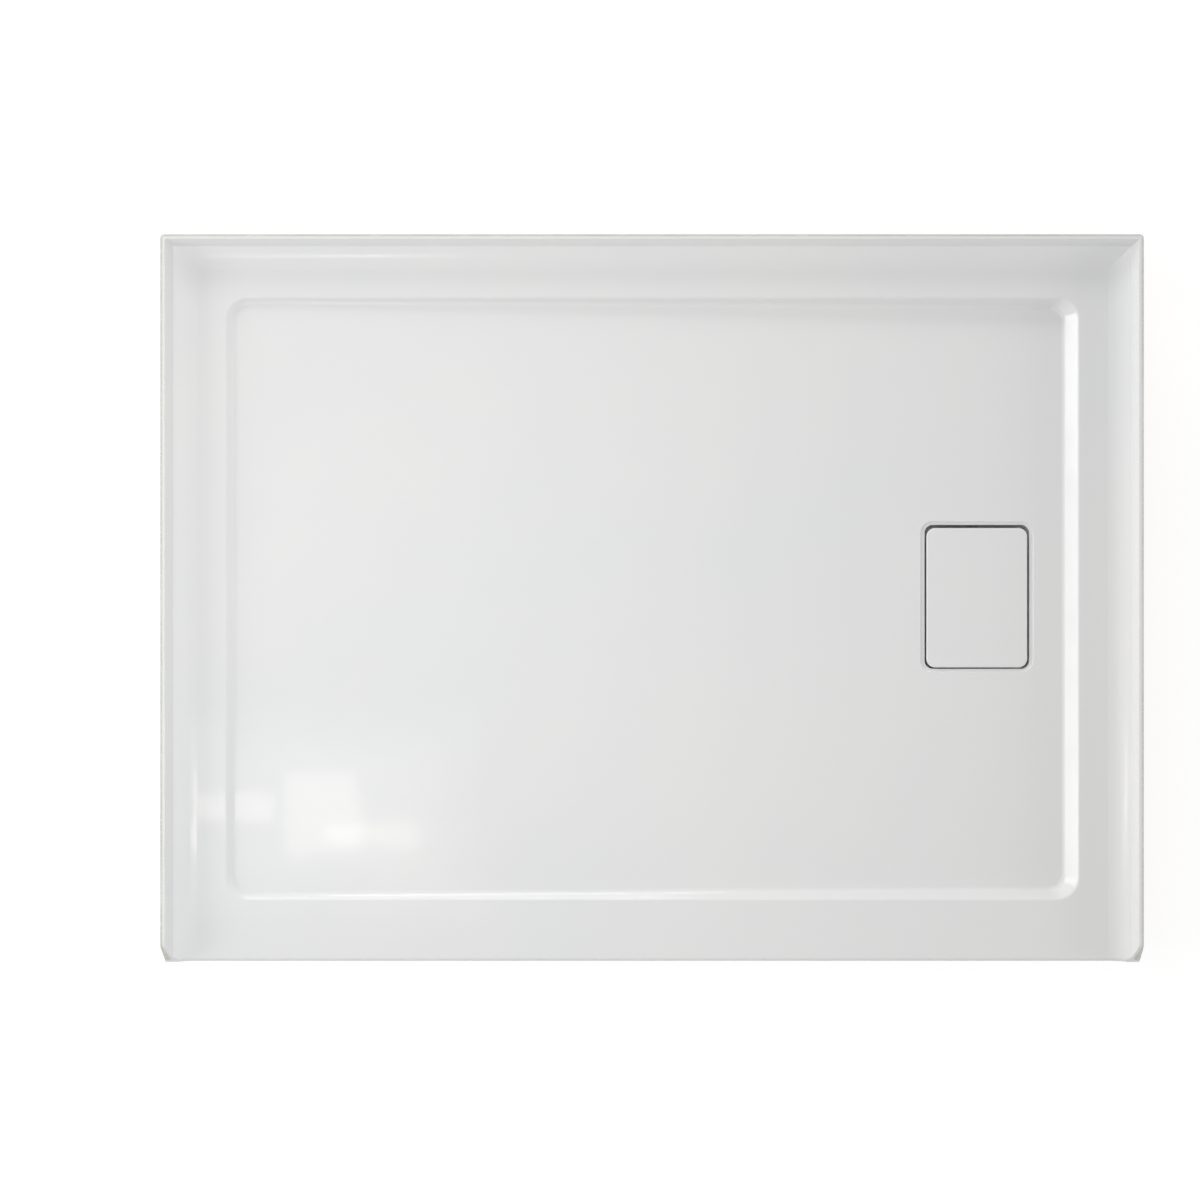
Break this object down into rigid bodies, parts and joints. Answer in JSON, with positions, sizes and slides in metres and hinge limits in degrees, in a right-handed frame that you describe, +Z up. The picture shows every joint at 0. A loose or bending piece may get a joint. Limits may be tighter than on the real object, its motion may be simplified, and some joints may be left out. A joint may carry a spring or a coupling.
{
  "type": "shower tray",
  "caption": "Alcove shower tray with a tile flange on three sides, a plain threshold, and a lift-off cover over the drain well at the right end.",
  "frame": {"origin": "on the floor under the feet, below the middle of the tray's outline", "axes": "+X to the right along the long side as seen from the threshold, +Y to the back wall, +Z up"},
  "size_m": [1.213, 0.902, 0.127],
  "materials": {
    "white_acrylic": "polished sanitary white",
    "moulded_white": "moulded, slightly dull",
    "laminate": "rolled glass fibre laminate",
    "board": "raw oriented strand board",
    "timber": "sawn softwood",
    "moulded_feet": "moulded, fine texture",
    "zinc_screw": "zinc plated",
    "drain_plastic": "moulded, satin",
    "drain_rubber": "matt",
    "fibre": "pressed fibre",
    "stainless": "brushed stainless steel",
    "pad_rubber": "matt"
  },
  "bodies": {
    "root": {"acrylic_shell": "white_acrylic", "fibreglass_backing": "laminate", "floor_board": "board", "front_rail": "timber", "rear_rail": "timber", "left_rail": "timber", "right_rail": "timber", "front_bearer": "timber", "middle_bearer": "timber", "rear_bearer": "timber", "front_rail_feet": "moulded_feet", "rear_rail_feet": "moulded_feet", "side_rail_feet": "moulded_feet", "front_bearer_feet": "moulded_feet", "middle_bearer_feet": "moulded_feet", "rear_bearer_feet": "moulded_feet", "foot_screws": "zinc_screw", "drain_body": "drain_plastic", "pipe_nut": "drain_plastic", "lock_nut": "drain_plastic", "pipe_seal": "drain_rubber", "rubber_washer": "drain_rubber", "fibre_washer": "fibre"},
    "cover": {"cover_plate": "white_acrylic", "cover_frame": "moulded_white", "cover_pads": "pad_rubber"},
    "strainer": {"strainer_plate": "stainless", "strainer_tabs": "stainless"}
  },
  "joints": [
    {"name": "cover_lift", "type": "slide", "parent": "root", "child": "cover", "axis": [0, 0, 1], "range_m": [0, 0.06]},
    {"name": "strainer_lift", "type": "slide", "parent": "root", "child": "strainer", "axis": [0, 0, 1], "range_m": [0, 0.014]}
  ]
}
